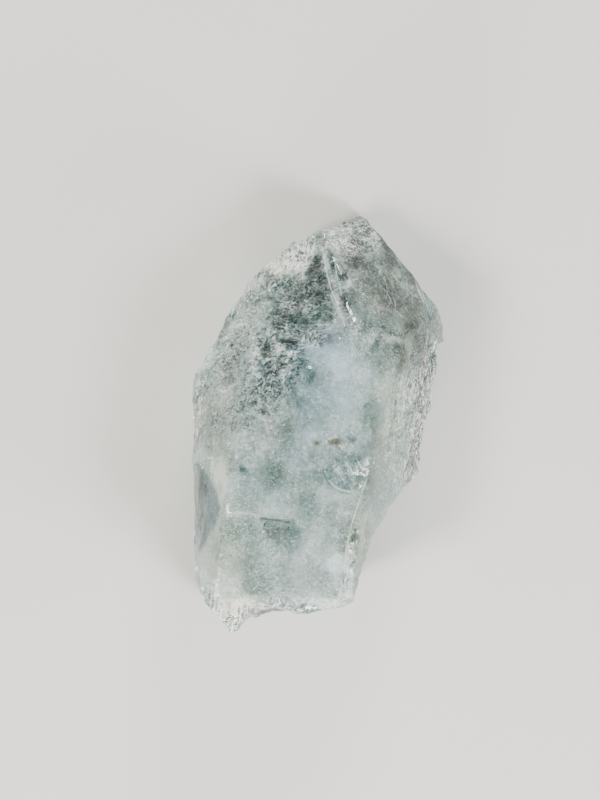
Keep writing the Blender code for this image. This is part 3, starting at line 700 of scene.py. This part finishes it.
veils = {
    "seed": 31,
    "waveSize": 2.2 * mm,
    "wave": 0.35 * mm,
    "fleck": (0.08 * mm, 0.30 * mm),
    # middle (x, y, depth below the skin) in mm, the way it faces (x, y, z), two radii in mm, and its flecks
    "dark": [
        (-1, 14.2, 1.6, -0.2, 0.5, 1, 1.6, 2.8, 900), (-3.8, 10.3, 1.4, -0.3, 0.2, 1, 2.4, 1.3, 800),
        (-6, 6.6, 1.2, -0.1, 0.4, 1, 1.2, 1.4, 500), (-4.4, 4.8, 1.3, -0.4, 0, 1, 1.9, 0.9, 700),
        (-5, 2, 1.3, 0.1, 0.3, 1, 1.9, 1.7, 600), (-1.4, -12.4, 1.3, 0.1, -0.7, 0.8, 1.6, 0.9, 200),
        (-3.1, -6.4, 1, 0.1, 0.2, 1, 0.9, 1.4, 200), (-3.3, -17.6, 1.2, 0.3, 0.1, 1, 1.4, 1.5, 60),
        (-10.6, -10, 1.6, -0.6, 0, 0.8, 1.2, 3.8, 500), (2.4, 16.9, 1.2, 0.3, 0.6, 0.8, 1.2, 0.9, 160),
        (4.6, 13, 1.4, 0.3, 0.5, 0.8, 1.6, 1.6, 260), (9.3, 11.4, 1.2, 0.7, 0.2, 0.6, 0.8, 1.8, 240),
    ],
    "silver": [
        (-2, 8.2, 1, -0.2, 0.1, 1, 1.6, 0.7, 60), (-6.6, 10.6, 1.2, -0.5, 0.4, 0.8, 1.2, 1.2, 120),
        (-6, -13, 1.3, -0.2, -0.5, 0.9, 2.2, 2.8, 520), (-2.6, -15.8, 1.6, 0.4, -0.4, 0.9, 2, 2.2, 420),
        (1.6, -18, 1.2, 0.2, -0.6, 0.8, 3.4, 1.6, 520), (4.6, -14.6, 1, 0.3, 0, 1, 1.2, 2.2, 420),
        (6.4, 3.6, 1.8, 0.5, 0.1, 0.9, 1.4, 4, 420), (10.4, 2.6, 1.4, 0.8, 0, 0.5, 1.6, 6, 800),
        (1.4, 21, 1.2, 0, 0.8, 0.6, 3, 1.2, 500), (-9.4, 3.2, 1.4, -0.8, 0.1, 0.6, 1.4, 3.4, 420),
        (-7.4, -5.2, 1.2, -0.3, 0.2, 1, 2.2, 2.8, 320), (0.2, -9.8, 2, 0.1, 0.2, 1, 3.4, 2.4, 360),
    ],
}


def veilFlecks(groups, rng):
    centres, facings = [], []
    for x, y, depth, *facing, width, height, count in groups:
        middle = under(x, y, depth)
        facing = Vector(facing).normalized()
        turn = np.array(facing.to_track_quat("Z", "Y").to_matrix())
        angle = rng.uniform(0, math.tau, count)
        reach = np.sqrt(rng.uniform(0, 1, count))
        flat = np.column_stack([reach * np.cos(angle) * width, reach * np.sin(angle) * height]) * mm
        sheet = np.column_stack([flat, np.full(count, y * mm)])
        bend = sampleNoise(sheet, veils["waveSize"], 3, octaves=3)
        places = middle + np.column_stack([flat, veils["wave"] * bend]) @ turn.T
        ragged = sampleNoise(places, 1.1 * mm, 9, octaves=2) + 0.6 * (1 - reach)
        keep = (ragged > 0.05) & deeperThan(places, 0.25 * mm)
        centres.append(places[keep])
        facings.append(np.array(facing) + 0.3 * rng.normal(size=(keep.sum(), 3)))
    return np.concatenate(centres), np.concatenate(facings)


for veilName, groupName, veilMaterial in (
    ("darkVeils", "dark", filmMaterial("darkFluid", "#27302e", "#5f6f6b", 0.5 * mm, 0.3)),
    ("silverVeils", "silver", filmMaterial("silveryFilm", "#c2cecb", "#ffffff", 0.5 * mm, 0.25)),
):
    veilRandom = np.random.default_rng(veils["seed"])
    veilPlaces, veilFacings = veilFlecks(veils[groupName], veilRandom)
    veilSizes = veilRandom.uniform(*veils["fleck"], len(veilPlaces))
    fleckPiece(veilName, veilPlaces, veilFacings, veilSizes, veilMaterial, veilRandom)


# Curved cracks seen nearly edge-on: fine white threads, in places painted glints, and dark ones between
# them, painted shade in and beside the cracks.

threads = {
    "seed": 41,
    "steps": 14,
    "depth": (0.04, 0.35),  # under the skin, in mm
    "wiggle": 0.5,
    # groups: middle (x, y), spread (x, y), heading in degrees from +X, least and greatest length, width and
    # count, with all lengths in mm
    "white": [
        (-2.6, 8.5, 2.2, 1.3, 10, 1, 3.4, 0.11, 30), (-4.6, 6.4, 1.8, 0.8, 20, 1, 3, 0.1, 18),
        (-1, 8.2, 1, 1, 40, 0.8, 2.2, 0.08, 18), (-3, 12.6, 2, 3, 20, 0.8, 2.4, 0.06, 14),
        (-3.2, 10.9, 2.4, 1.5, 8, 0.6, 1.8, 0.05, 44), (-9.2, 8.8, 1.6, 0.5, 25, 1, 2.6, 0.16, 10),
        (-5, 2.6, 1.8, 2.6, 75, 0.8, 2.2, 0.07, 20), (-10.4, 4.6, 1, 4, 60, 0.5, 1.6, 0.13, 22),
        (0.8, 12.2, 0.5, 2.8, 105, 0.8, 2.4, 0.08, 6), (4.2, -4.8, 0.9, 0.7, -40, 0.3, 0.8, 0.13, 7),
        (-6.6, -14.4, 1.8, 3, 100, 0.3, 0.9, 0.09, 9), (-1, -19, 3.4, 1, 10, 0.4, 1.4, 0.1, 16),
        # the rim's threads, last on this line and first on the next: white splinters that are also painted
        # glints
        (-4.6, -21.8, 2.6, 0.8, 15, 0.5, 1.8, 0.13, 18), (11.4, 4.2, 1.1, 4.6, 84, 0.5, 2.2, 0.13, 46),
        (12, -2.8, 0.9, 3, 95, 0.5, 1.8, 0.12, 24), (7.6, 15, 1.8, 3, -58, 0.8, 3, 0.1, 22),
        (1.6, 21, 2.8, 0.9, 20, 0.6, 2.2, 0.13, 24), (-4.8, 17.2, 2.2, 0.9, 35, 0.4, 1.6, 0.13, 18),
        (3.4, -12.4, 2.6, 4.6, 90, 0.3, 1, 0.07, 16),
    ],
    # dark threads: the shaded gaps between splinters and the dark streaks of the clear windows, painted
    # shade
    "dark": [
        (-3.2, -1.8, 0.4, 0.3, 15, 1, 1.3, 0.16, 2), (-9.4, 4.8, 0.5, 0.6, 60, 0.3, 0.7, 0.16, 5),
        (5.2, -7.3, 0.6, 0.2, 8, 1.4, 1.8, 0.09, 2), (-3.6, 9.2, 2, 1.6, 15, 0.5, 1.6, 0.22, 14),
        (-4.9, 5.6, 1.7, 1.8, 40, 0.5, 1.4, 0.2, 12), (-3, 13.2, 1.8, 2.4, 80, 0.4, 1.2, 0.2, 14),
        (7.2, 14.2, 1.8, 3, -58, 0.8, 2.6, 0.12, 14), (11.2, 2.6, 1, 5, 84, 0.4, 1.4, 0.16, 50),
        (11.9, -3, 0.7, 3, 95, 0.4, 1.2, 0.15, 20), (1.6, 18.4, 1.8, 0.7, 84, 0.4, 1.2, 0.15, 18),
        (1.4, 22.2, 2.4, 0.5, 15, 0.4, 1.4, 0.1, 6), (-4.8, 17.4, 2, 0.8, 60, 0.4, 1.2, 0.13, 12),
        (-3.6, -21.8, 3, 0.7, 15, 0.4, 1.4, 0.12, 8),
    ],
    # single marks that stand out: width in mm, then the points (x, y) in mm that each runs through
    "lineDepth": 0.07,
    "whiteCrackAndGlintLines": [
        # the basal crack's lit upper edge: a painted highlight
        (0.15, [(-6.6, -11), (-5, -10.95), (-3.6, -11.05), (-0.4, -10.9)]),
        # the left shoulder's two curves, on this and the next line: painted glints
        (0.36, [(-11.3, 8.1), (-10.4, 8.6), (-9.5, 9), (-8.4, 9.2)]),
        (0.28, [(-10.4, 8.9), (-9.6, 9.5), (-8.8, 9.7)]),
        (0.12, [(-1.4, 18.4), (-0.7, 16.2), (0.1, 14), (1.1, 12.4), (2.1, 10.3)]),
        (0.13, [(0.1, 17.4), (0.5, 15.6), (1.3, 13.9)]),
        # the pit's lit crescent: a painted highlight
        (0.32, [(1.2, 14.5), (1.7, 14.4), (2, 14.8), (2, 15.4), (1.8, 15.9)]),
        # glints along the right slope's edge: painted highlights
        (0.3, [(9.3, 16.9), (9.9, 15.6), (10.6, 14.3)]), (0.16, [(9.9, 16.3), (10.6, 14.9), (11.1, 13.7)]),
        (0.14, [(-1.2, 21.3), (0.6, 22.2), (2.6, 22.5)]), (0.12, [(-0.6, 20.9), (1, 21.6), (3, 21.8)]),
        (0.22, [(12.6, 10.8), (12.5, 9.4), (11.6, 8.4)]), (0.34, [(7.7, 6.4), (8.2, 6.5), (8, 5.9)]),
        # the shell's lit arcs and glints, on this and the next two lines: painted highlights
        (0.22, [(2.8, -6.2), (3.5, -6.8), (4.4, -7.1), (5.3, -7.1)]),
        (0.16, [(5.3, -3.4), (5.8, -4.1), (6.3, -4.8)]), (0.18, [(4, -3.9), (4.9, -4.6), (5.4, -5.6)]),
        (0.14, [(3, -4.6), (3.9, -5.4), (4.6, -6.4)]),
        # a pale strip along the front's right edge, on this and the next two lines: painted highlight
        (0.15, [(6.8, -5.4), (6.4, -7.4), (6, -9.8), (5.8, -11.2)]),
        (0.18, [(5.9, -11.4), (5.7, -12.7), (5.8, -15), (6.4, -18.2)]),
        (0.13, [(6.3, -12), (6.7, -14.2), (6.9, -17.6)]),
        (0.36, [(-5.7, 9.3), (-6, 8.4), (-5.7, 7.9), (-5.8, 7.4)]),
        (0.3, [(-4.5, 7.9), (-3.6, 8.3), (-2.5, 8.2)]), (0.34, [(-5.2, 6), (-4.2, 6.9), (-3.3, 6.3)]),
        (0.36, [(-6.1, 5.2), (-4.9, 5.8), (-3.6, 5.7), (-2.7, 4.9)]),
        (0.24, [(-3.6, 3.2), (-3.2, 3.8), (-2.9, 4.5)]), (0.22, [(-6.4, 3.8), (-5.5, 3.4), (-5.6, 2.4)]),
        (0.26, [(-7.2, 5.6), (-6.4, 6.8), (-6.1, 7.8)]),
        (0.2, [(-2.6, 7), (-1.7, 7.4), (-1, 8.4), (-0.9, 9.4)]),
        (0.18, [(-3, 9.4), (-2.2, 9), (-1.4, 9.5)]),
    ],
    "shadedCrackLines": [
        (0.26, [(7.2, -1.8), (8.7, -0.7), (10.3, 0.4)]), (0.22, [(-5.9, 4.9), (-4.6, 5.3), (-3.4, 5.2)]),
        (0.24, [(-4.6, 7.4), (-3.4, 7.8), (-2.3, 7.7)]), (0.2, [(-6.4, 6), (-6.1, 6.6), (-5.9, 7.1)]),
        # the shell's dark undersides, on this line and the first of the next: painted shade
        (0.13, [(2, -5), (2.4, -6.1), (3.2, -6.9), (4.3, -7.4), (5.4, -7.4)]),
        (0.16, [(5.4, -6.5), (6, -6.3), (6.6, -6.2)]), (0.12, [(2.2, -4.4), (3.3, -2.9), (4.8, -3.1)]),
        # first on this line: the basal crack's dark underside, painted shade
        (0.16, [(-3.8, -11.3), (-2, -11.25), (-0.5, -11.2)]), (0.42, [(12, 9.9), (12.2, 9.4), (12.3, 8.8)]),
        (0.26, [(10.2, 12.8), (10.5, 12.6), (10.8, 12.3)]), (0.2, [(7.9, 5.4), (8.5, 7.4), (8.7, 9.4)]),
        (0.14, [(4.6, -13.3), (4.4, -15.2), (5.4, -18)]),
        # the pit's shaded rim: painted shade
        (0.3, [(0.9, 14.9), (0.9, 15.4), (1.1, 15.9), (1.5, 16.2)]),
    ],
}


def flatLine(corners):
    # an even, slightly rounded run through the corners
    corners = np.array(corners)
    count = len(corners)
    share = np.linspace(0, count - 1, 9 * (count - 1) + 1)
    run = np.column_stack([np.interp(share, np.arange(count), side) for side in corners.T])
    for _ in range(8):
        run[1:-1] = (run[:-2] + 2 * run[1:-1] + run[2:]) / 4
    return run


def strayThread(rng, place, heading, lengths, width):
    # one thin wavering strip just under the skin, as pairs of points along its two edges
    angle = math.radians(heading + rng.uniform(-28, 28))
    length = rng.uniform(*lengths)
    curl = rng.uniform(-1, 1) * threads["wiggle"]
    depth = rng.uniform(*threads["depth"])
    place = place - 0.5 * length * np.array((math.cos(angle), math.sin(angle)))
    pairs = []
    girth = width * mm * rng.uniform(0.35, 0.6)
    steps = threads["steps"]
    for step in range(steps + 1):
        middle = under(*place, depth)
        if middle is None or depthInside(middle) < 0.02 * mm:
            break
        half = girth * math.sin(math.pi * (0.04 + 0.92 * step / steps)) * rng.uniform(0.9, 1.1)
        sideways = np.array((-math.sin(angle), math.cos(angle), 0.0))
        pairs.append((middle - half * sideways, middle + half * sideways - (0, 0, 0.6 * half)))
        place = place + length / steps * np.array((math.cos(angle), math.sin(angle)))
        angle += (curl * 2.6 + rng.normal() * threads["wiggle"]) / steps
    return pairs


def plannedThread(rng, width, corners):
    # the same through given corners
    run = flatLine(corners)
    ahead = unit(np.gradient(run, axis=0))
    taper = np.sin(math.pi * np.linspace(0.08, 0.92, len(run))) ** 0.6
    half = 0.5 * width * taper * rng.uniform(0.8, 1.2, len(run))
    aside = np.column_stack([-ahead[:, 1], ahead[:, 0]]) * half[:, None]
    depth = threads["lineDepth"]
    pairs = [(under(*one, depth), under(*other, depth)) for one, other in zip(run - aside, run + aside)]
    return [pair for pair in pairs if pair[0] is not None and pair[1] is not None]


def makeThreads(name, groups, lines, material):
    rng = np.random.default_rng(threads["seed"])
    strips = []
    for x, y, spreadX, spreadY, heading, shortest, longest, width, count in groups:
        for _ in range(count):
            # fewer towards the group's edge
            place = (x, y) + 0.8 * np.arcsin(rng.uniform(-1, 1, 2)) * (spreadX, spreadY)
            strips.append(strayThread(rng, place, heading, (shortest, longest), width))
    strips += [plannedThread(rng, width, corners) for width, corners in lines]
    points, faces = [], []
    for strip in strips:
        start = len(points)
        points += [tuple(point) for pair in strip for point in pair]
        faces += [(a, a + 1, a + 3, a + 2) for a in range(start, len(points) - 2, 2)]
    return innerPiece(name, points, faces, material)


whiteCrackAndGlint = filmMaterial("whiteCrackAndGlint", "#dfe7e4", "#ffffff", 0.3 * mm, 0.3)
shadowedCrack = filmMaterial("shadowedCrack", "#39423e", "#6b7773", 0.3 * mm, 0.4)
makeThreads("whiteCrackAndGlintThreads", threads["white"], threads["whiteCrackAndGlintLines"], whiteCrackAndGlint)
makeThreads("shadedCrackThreads", threads["dark"], threads["shadedCrackLines"], shadowedCrack)


# The basal crack: one nearly straight split across the c axis, lit along its top edge.

basalCrack = {
    "seed": 51,
    "start": (-8.1, -11.2),
    "end": (-0.4, -11.0),
    "depth": 2.6 * mm,
    "lean": -0.55,  # how far it runs towards the foot as it goes down
    "columns": 90,
    "rows": 22,
    "wave": 0.12 * mm,
}


def makeBasalCrack(material):
    part = basalCrack
    rng = np.random.default_rng(part["seed"])
    places = []
    for share in np.linspace(0, 1, part["columns"]):
        x, y = (1 - share) * np.array(part["start"]) + share * np.array(part["end"])
        top = under(x, y, 0.2)
        reach = part["depth"] * (0.35 + 0.65 * math.sin(math.pi * (0.1 + 0.8 * share)))
        for row in range(part["rows"]):
            down = (row / part["rows"]) ** 1.4
            wave = part["wave"] * noise.noise((x, down * 3, 0))
            spot = np.array((0, part["lean"] * reach * down + wave, -reach * down))
            places.append(top + spot + rng.normal(size=3) * 0.03 * mm)
    places = np.array(places)
    places = places[deeperThan(places, 0.08 * mm)]
    sizes = rng.uniform(0.06 * mm, 0.20 * mm, len(places))
    facing = np.array((0.1, -0.5, 0.85)) + 0.35 * rng.normal(size=(len(places), 3))
    return fleckPiece("basalCrack", places, facing, sizes, material, rng)


makeBasalCrack(filmMaterial("silverySplit", "#b4c2bf", "#ffffff", 0.5 * mm, 0.25))


# Growth tubes: hair-fine hollow needles along the c axis.

tubes = {"seed": 61, "count": 240, "length": (1.5 * mm, 6.5 * mm), "radius": 0.018 * mm}


def makeTubes(material):
    rng = np.random.default_rng(tubes["seed"])
    points, faces = [], []
    while len(faces) < 3 * tubes["count"]:
        middle = rng.uniform(np.array(low), np.array(high))
        half = rng.uniform(*tubes["length"]) / 2
        ends = [middle - (0, half, 0), middle + (0, half, 0)]
        if min(depthInside(p) for p in ends) < 0.4 * mm:
            continue
        start = len(points)
        spokes = [(math.cos(a), 0, math.sin(a)) for a in (0, math.tau / 3, 2 * math.tau / 3)]
        points += [tuple(end + np.array(spoke) * tubes["radius"]) for end in ends for spoke in spokes]
        for first, second in ((0, 1), (1, 2), (2, 0)):
            faces.append((start + first, start + second, start + 3 + second, start + 3 + first))
    return innerPiece("growthTubes", points, faces, material)


makeTubes(filmMaterial("hollowNeedle", "#a9b6b3", "#f4f8f7", 1.2 * mm, 0.3))


# Specks: dark mineral grains, and bright pin-point cracks just under the skin that are also painted glints.

specks = {
    "seed": 71,
    "spotFlecks": 7,
    # for each piece: how many stray specks, the least and greatest size in mm, and the spots that stand
    # out, as (x, y, size) in mm
    "darkSpecks": (150, (0.1, 0.34), [
        (1.4, -8, 0.5), (3.2, -12.9, 0.4), (3.5, -12, 0.3), (-0.1, -15, 0.3), (6.2, 2.7, 0.4),
        (0, 7.9, 0.4), (5.9, 4.1, 0.3), (4.2, -1.5, 0.6), (4.4, -1.9, 0.5), (3.5, -2.9, 0.6),
        (-11.2, 2, 0.5), (-0.2, -6.9, 0.5), (-5.2, -11.8, 0.4), (-4.6, -12.2, 0.3), (-6, -12.3, 0.4),
        (-3.2, -11.6, 0.5), (-2.4, -12.4, 0.5),
    ]),
    # bright specks: white flecks that stand in for pin-point glints, painted highlights, most of all at the
    # shoulder, tip, foot and left edge
    "crackAndGlintSpecks": (650, (0.05, 0.16), [
        (-0.1, -13.1, 0.6), (0.3, -12.7, 0.4), (-3.3, -12.6, 0.5), (-0.4, -14.9, 0.3), (2.4, -14.5, 0.4),
        (3.7, -5, 0.5), (6.7, -4.9, 0.35), (2.3, -1.8, 0.8), (3.6, -2.3, 0.7), (2.8, -1.5, 0.5),
        (-10.8, -7, 0.6), (-10.3, -7.5, 0.4), (-8.7, -19.9, 0.7), (-8.2, -20.4, 0.6), (-10.1, -18.3, 0.6),
        (-5.3, -13.4, 0.3), (-5.9, -15.6, 0.4), (0.5, 13.1, 0.4), (0.7, 12.5, 0.3), (1.8, 14.2, 0.5),
        (2.1, 2.6, 0.4), (2.4, 0.6, 0.4), (2.2, 1.2, 0.3), (-6, 17.3, 0.8), (-5.2, 17.8, 0.7),
        (-4.4, 18.2, 0.8), (-3.4, 18.6, 0.6), (-6.8, 16.4, 0.6), (1, 21.6, 0.8), (2, 21.2, 0.9),
        (2.6, 21.4, 0.6), (-0.8, 20.4, 0.6), (-7.2, -21.2, 0.7), (-6, -22.6, 0.6), (-5, -22.6, 0.8),
        (-12.3, 4, 0.5), (-12.6, 1, 0.6), (-12.9, -2, 0.5),
    ]),
    "ironStains": (0, (0.1, 0.34), [
        (0.9, -2.6, 0.6), (1.4, -2.5, 0.6), (2.6, -2.4, 0.6), (3.1, -2.4, 0.7), (8.8, 8.4, 0.5),
        (9.1, 7.6, 0.5),
    ]),
}


def makeSpecks(name, material):
    rng = np.random.default_rng(specks["seed"])
    count, sizes, spots = specks[name]
    places = []
    while len(places) < count:
        place = under(rng.uniform(-13.2, 13.2), rng.uniform(-23, 23), rng.uniform(0.05, 0.9))
        if place is not None and depthInside(place) > 0.03 * mm:
            places.append(place)
    reach = list(rng.uniform(*sizes, count))
    for x, y, size in spots:
        for _ in range(specks["spotFlecks"]):
            nearX, nearY = (x, y) + 0.28 * size * rng.normal(size=2)
            place = under(nearX, nearY, rng.uniform(0.08, 0.16))
            if place is not None:
                places.append(place)
                reach.append(size * rng.uniform(0.3, 0.8))
    facing = np.array((0, 0, 1)) + 0.4 * rng.normal(size=(len(places), 3))
    fleckPiece(name, np.array(places), facing, np.array(reach) * mm, material, rng)


makeSpecks("darkSpecks", filmMaterial("darkGrain", "#1f2422", "#4a5451", 0.3 * mm, 0.4))
makeSpecks("crackAndGlintSpecks", filmMaterial("crackAndGlintWhite", "#eef3f2", "#ffffff", 0.3 * mm, 0.2))
makeSpecks("ironStains", filmMaterial("ironStain", "#4b4031", "#a08a62", 0.3 * mm, 0.6))


# The studio: a pale board, five small soft lamps and a pale, evenly lit room.

studio = {
    "tableSize": 3.0,
    "tableTones": [(0.3, "#b9b6b0"), (0.7, "#bfbcb6")],
    "worldTint": "#d4d8d8",
    "worldStrength": 1.1,
    # name, place and size in metres, power and tint
    "lamps": [
        ("windowLight", (-0.32, -0.24, 0.45), 0.13, 4.8, "#fffdf8"),
        ("farWindow", (0.34, -0.25, 0.40), 0.13, 3.6, "#f8faff"),
        ("lowSide", (0.42, -0.20, 0.17), 0.14, 2.4, "#fffdf8"),
        ("lowBack", (0.02, 0.48, 0.17), 0.14, 3.4, "#fbfcff"),
        ("lowFoot", (-0.08, -0.46, 0.19), 0.12, 2.4, "#fffdf8"),
    ],
}
view = {
    "lens": 85,
    "middle": (-1.46 * mm, 1.72 * mm),  # the point that the picture is centred on
    "height": 218.9 * mm,
    "roll": 8.5,  # degrees, so that the c axis leans to the right
}


def makeStudio():
    half = studio["tableSize"] / 2
    tableMesh = bpy.data.meshes.new("table")
    corners = [(-half, -half, 0), (half, -half, 0), (half, half, 0), (-half, half, 0)]
    tableMesh.from_pydata(corners, [], [(0, 1, 2, 3)])
    # matt painted board: pale, with the faintest cloudiness
    tableMesh.materials.append(mottledMaterial("paleBoard", studio["tableTones"], 1 / 9, 0.75, 3))
    table = addObject("table", tableMesh)
    table.location.z = -0.02 * mm

    world = bpy.data.worlds.new("softRoom")
    world.use_nodes = True
    background = world.node_tree.nodes["Background"]
    background.inputs["Color"].default_value = (*toLinear(studio["worldTint"]), 1)
    background.inputs["Strength"].default_value = studio["worldStrength"]
    bpy.context.scene.world = world

    for name, place, size, power, tint in studio["lamps"]:
        lamp = bpy.data.lights.new(name, "AREA")
        lamp.size = size
        lamp.energy = power
        lamp.color = toLinear(tint)
        holder = addObject(name, lamp)
        holder.location = place
        holder.rotation_euler = (-Vector(place)).to_track_quat("-Z", "Y").to_euler()


def makeCamera():
    camera = bpy.data.cameras.new("camera")
    camera.lens = view["lens"]
    camera.clip_start = 0.005
    holder = addObject("camera", camera)
    holder.location = (*view["middle"], view["height"])
    holder.rotation_euler = (0, 0, math.radians(view["roll"]))
    bpy.context.scene.camera = holder


makeStudio()
makeCamera()
print("table, lights and camera are set")
